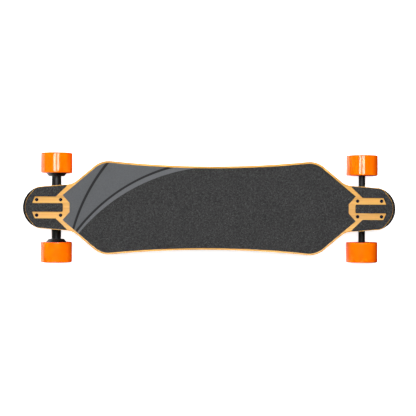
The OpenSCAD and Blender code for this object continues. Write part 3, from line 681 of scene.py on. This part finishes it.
def build_cable(side):
    """One motor's cable: from the case, down beside the truck, and out along the hanger."""
    sign = 1 if side == "left" else -1
    lead_low, lead_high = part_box("phase_leads")
    run_low, run_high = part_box("motor_cables")
    radius = (run_high.x - run_low.x) / 2
    lead_z = (lead_low.z + lead_high.z) / 2
    run_x, run_z = (run_low.x + run_high.x) / 2, (run_low.z + run_high.z) / 2
    lead_y = sign * (lead_high.y - (lead_high.z - lead_low.z) / 2)
    points = [
        (lead_high.x, lead_y, lead_z),
        (lead_low.x + 18 * MM, lead_y, lead_z),
        (lead_low.x - 6 * MM, lead_y + sign * 5 * MM, lead_z - 8 * MM),
        (lead_low.x - 26 * MM, lead_y + sign * 9 * MM, lead_z - 38 * MM),
        (run_x + 9 * MM, lead_y + sign * 14 * MM, run_z + 14 * MM),
        (run_x, lead_y + sign * 30 * MM, run_z),
        (run_x, sign * run_high.y, run_z),
    ]
    piece = sweep_tube(f"{side}_motor_cable", smooth_path(points), radius, "cable_jacket")
    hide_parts("motor_cables", "phase_leads")
    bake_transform(piece)


def build_soft_parts():
    """The pieces that bend on the real board as it steers, built at rest."""
    for end in ("front", "rear"):
        for side in ("boardside", "roadside"):
            build_bushing(end, side)
    for side in ("left", "right"):
        build_cable(side)


# ---------------------------------------------------------------- stage, light and camera

def floor_material():
    """Matt white, brightened for the camera and in glossy reflections like a lit table."""
    g = Graph("floor")
    tone = g.vary(g.noise(3), 0.93, 0.95)
    colour = g.shade((1, 1, 1), tone)
    ray = g.node("ShaderNodeLightPath")
    seen = g.math("MULTIPLY", ray.outputs["Is Camera Ray"], 0.9)
    mirrored = g.math("MULTIPLY", ray.outputs["Is Glossy Ray"], 0.5)
    lift = g.math("ADD", seen, mirrored)
    return g.finish(colour, 0.6, Emission_Color=colour, Emission_Strength=lift)


def build_floor():
    """Strips of one floor. Each strip in front of an axle is left out of glossy reflections, which
    leaves the front side of the wheels deeper in colour. The last one lends the board no light."""
    material = floor_material()
    far = 30
    rear, front = middle("rear_axle").x, middle("front_axle").x
    half_way = front / 2
    strips = (
        ("floor_rear", -far, rear, True, True),
        ("floor_middle", rear, half_way, False, True),
        ("floor_near_front", half_way, front, True, True),
        ("floor_front", front, far, False, False),
    )
    for name, start, end, glossy, diffuse in strips:
        mesh = bpy.data.meshes.new(name)
        corners = ((start, -far, 0), (end, -far, 0), (end, far, 0), (start, far, 0))
        mesh.from_pydata(corners, [], [(0, 1, 2, 3)])
        mesh.materials.append(material)
        floor = bpy.data.objects.new(name, mesh)
        bpy.context.scene.collection.objects.link(floor)
        floor.visible_glossy = glossy
        floor.visible_diffuse = diffuse


def add_panel(name, place, aim, width, length, power):
    """A soft box of light that faces aim, with its length along the board's Y."""
    light = bpy.data.lights.new(name, "AREA")
    light.shape = "RECTANGLE"
    light.size = width
    light.size_y = length
    light.energy = power
    panel = bpy.data.objects.new(name, light)
    bpy.context.scene.collection.objects.link(panel)
    back = (Vector(place) - Vector(aim)).normalized()
    across = Vector((0, 1, 0)).cross(back).normalized()
    turn = Matrix((across, back.cross(across), back)).transposed()
    panel.matrix_world = Matrix.Translation(place) @ turn.to_4x4()
    return panel


# strength that turns the world's dark grey into a pale backdrop
BACKDROP_LEVEL = 18.5


def build_world():
    """A room whose faint light falls off towards the front. The camera sees it as a pale backdrop."""
    world = bpy.data.worlds.new("studio")
    bpy.context.scene.world = world
    world.use_nodes = True
    tree = world.node_tree
    place = tree.nodes.new("ShaderNodeTexCoord")
    parts = tree.nodes.new("ShaderNodeSeparateXYZ")
    fall = tree.nodes.new("ShaderNodeMapRange")
    for name, level in (("From Min", -1.0), ("From Max", 1.0), ("To Min", 1.10), ("To Max", 0.03)):
        fall.inputs[name].default_value = level
    ray = tree.nodes.new("ShaderNodeLightPath")
    backdrop = tree.nodes.new("ShaderNodeMath")
    backdrop.operation = "MULTIPLY_ADD"
    backdrop.inputs[1].default_value = BACKDROP_LEVEL
    tree.links.new(place.outputs["Generated"], parts.inputs[0])
    tree.links.new(parts.outputs["X"], fall.inputs["Value"])
    tree.links.new(ray.outputs["Is Camera Ray"], backdrop.inputs[0])
    tree.links.new(fall.outputs["Result"], backdrop.inputs[2])
    tree.links.new(backdrop.outputs[0], tree.nodes["Background"].inputs["Strength"])


def add_strip(name, along, above, width, power):
    """A panel overhead, on the left of the board, that shines straight down."""
    aside, length = 1.0, 1.96
    add_panel(name, (along, aside, above), (along, aside, 0), width, length, power)


def build_light():
    """Two bright strips with a dim panel between them overhead, and a low fill from the rear."""
    build_world()
    add_strip("strip_rear", along=-0.70, above=2.75, width=0.72, power=62)
    add_strip("strip_front", along=0.55, above=2.75, width=0.72, power=62)
    add_strip("between", along=-0.075, above=2.76, width=0.53, power=6)
    fill = add_panel("rear_fill", place=(-3.2, 0, 0.9), aim=(0, 0, 0.3), width=1.6, length=4.0, power=52)
    fill.visible_glossy = False


def build_camera():
    """Straight above the board, at the distance and lens that frame it as a product shot."""
    low, high = CAD_BOX
    camera = bpy.data.cameras.new("camera")
    camera.lens = 85
    camera.sensor_width = 36
    above = 2.6
    aside = Vector((-3 * MM, 0.5 * MM, 0))
    thing = bpy.data.objects.new("camera", camera)
    bpy.context.scene.collection.objects.link(thing)
    centre = (low + high) / 2
    thing.location = Vector((centre.x, centre.y, high.z + above)) + aside
    thing.rotation_euler = (0, 0, math.radians(0.28))
    bpy.context.scene.camera = thing
    bpy.context.scene.view_settings.view_transform = "Standard"


dress_nodes()
build_tyres()
build_soft_parts()
build_floor()
build_light()
build_camera()
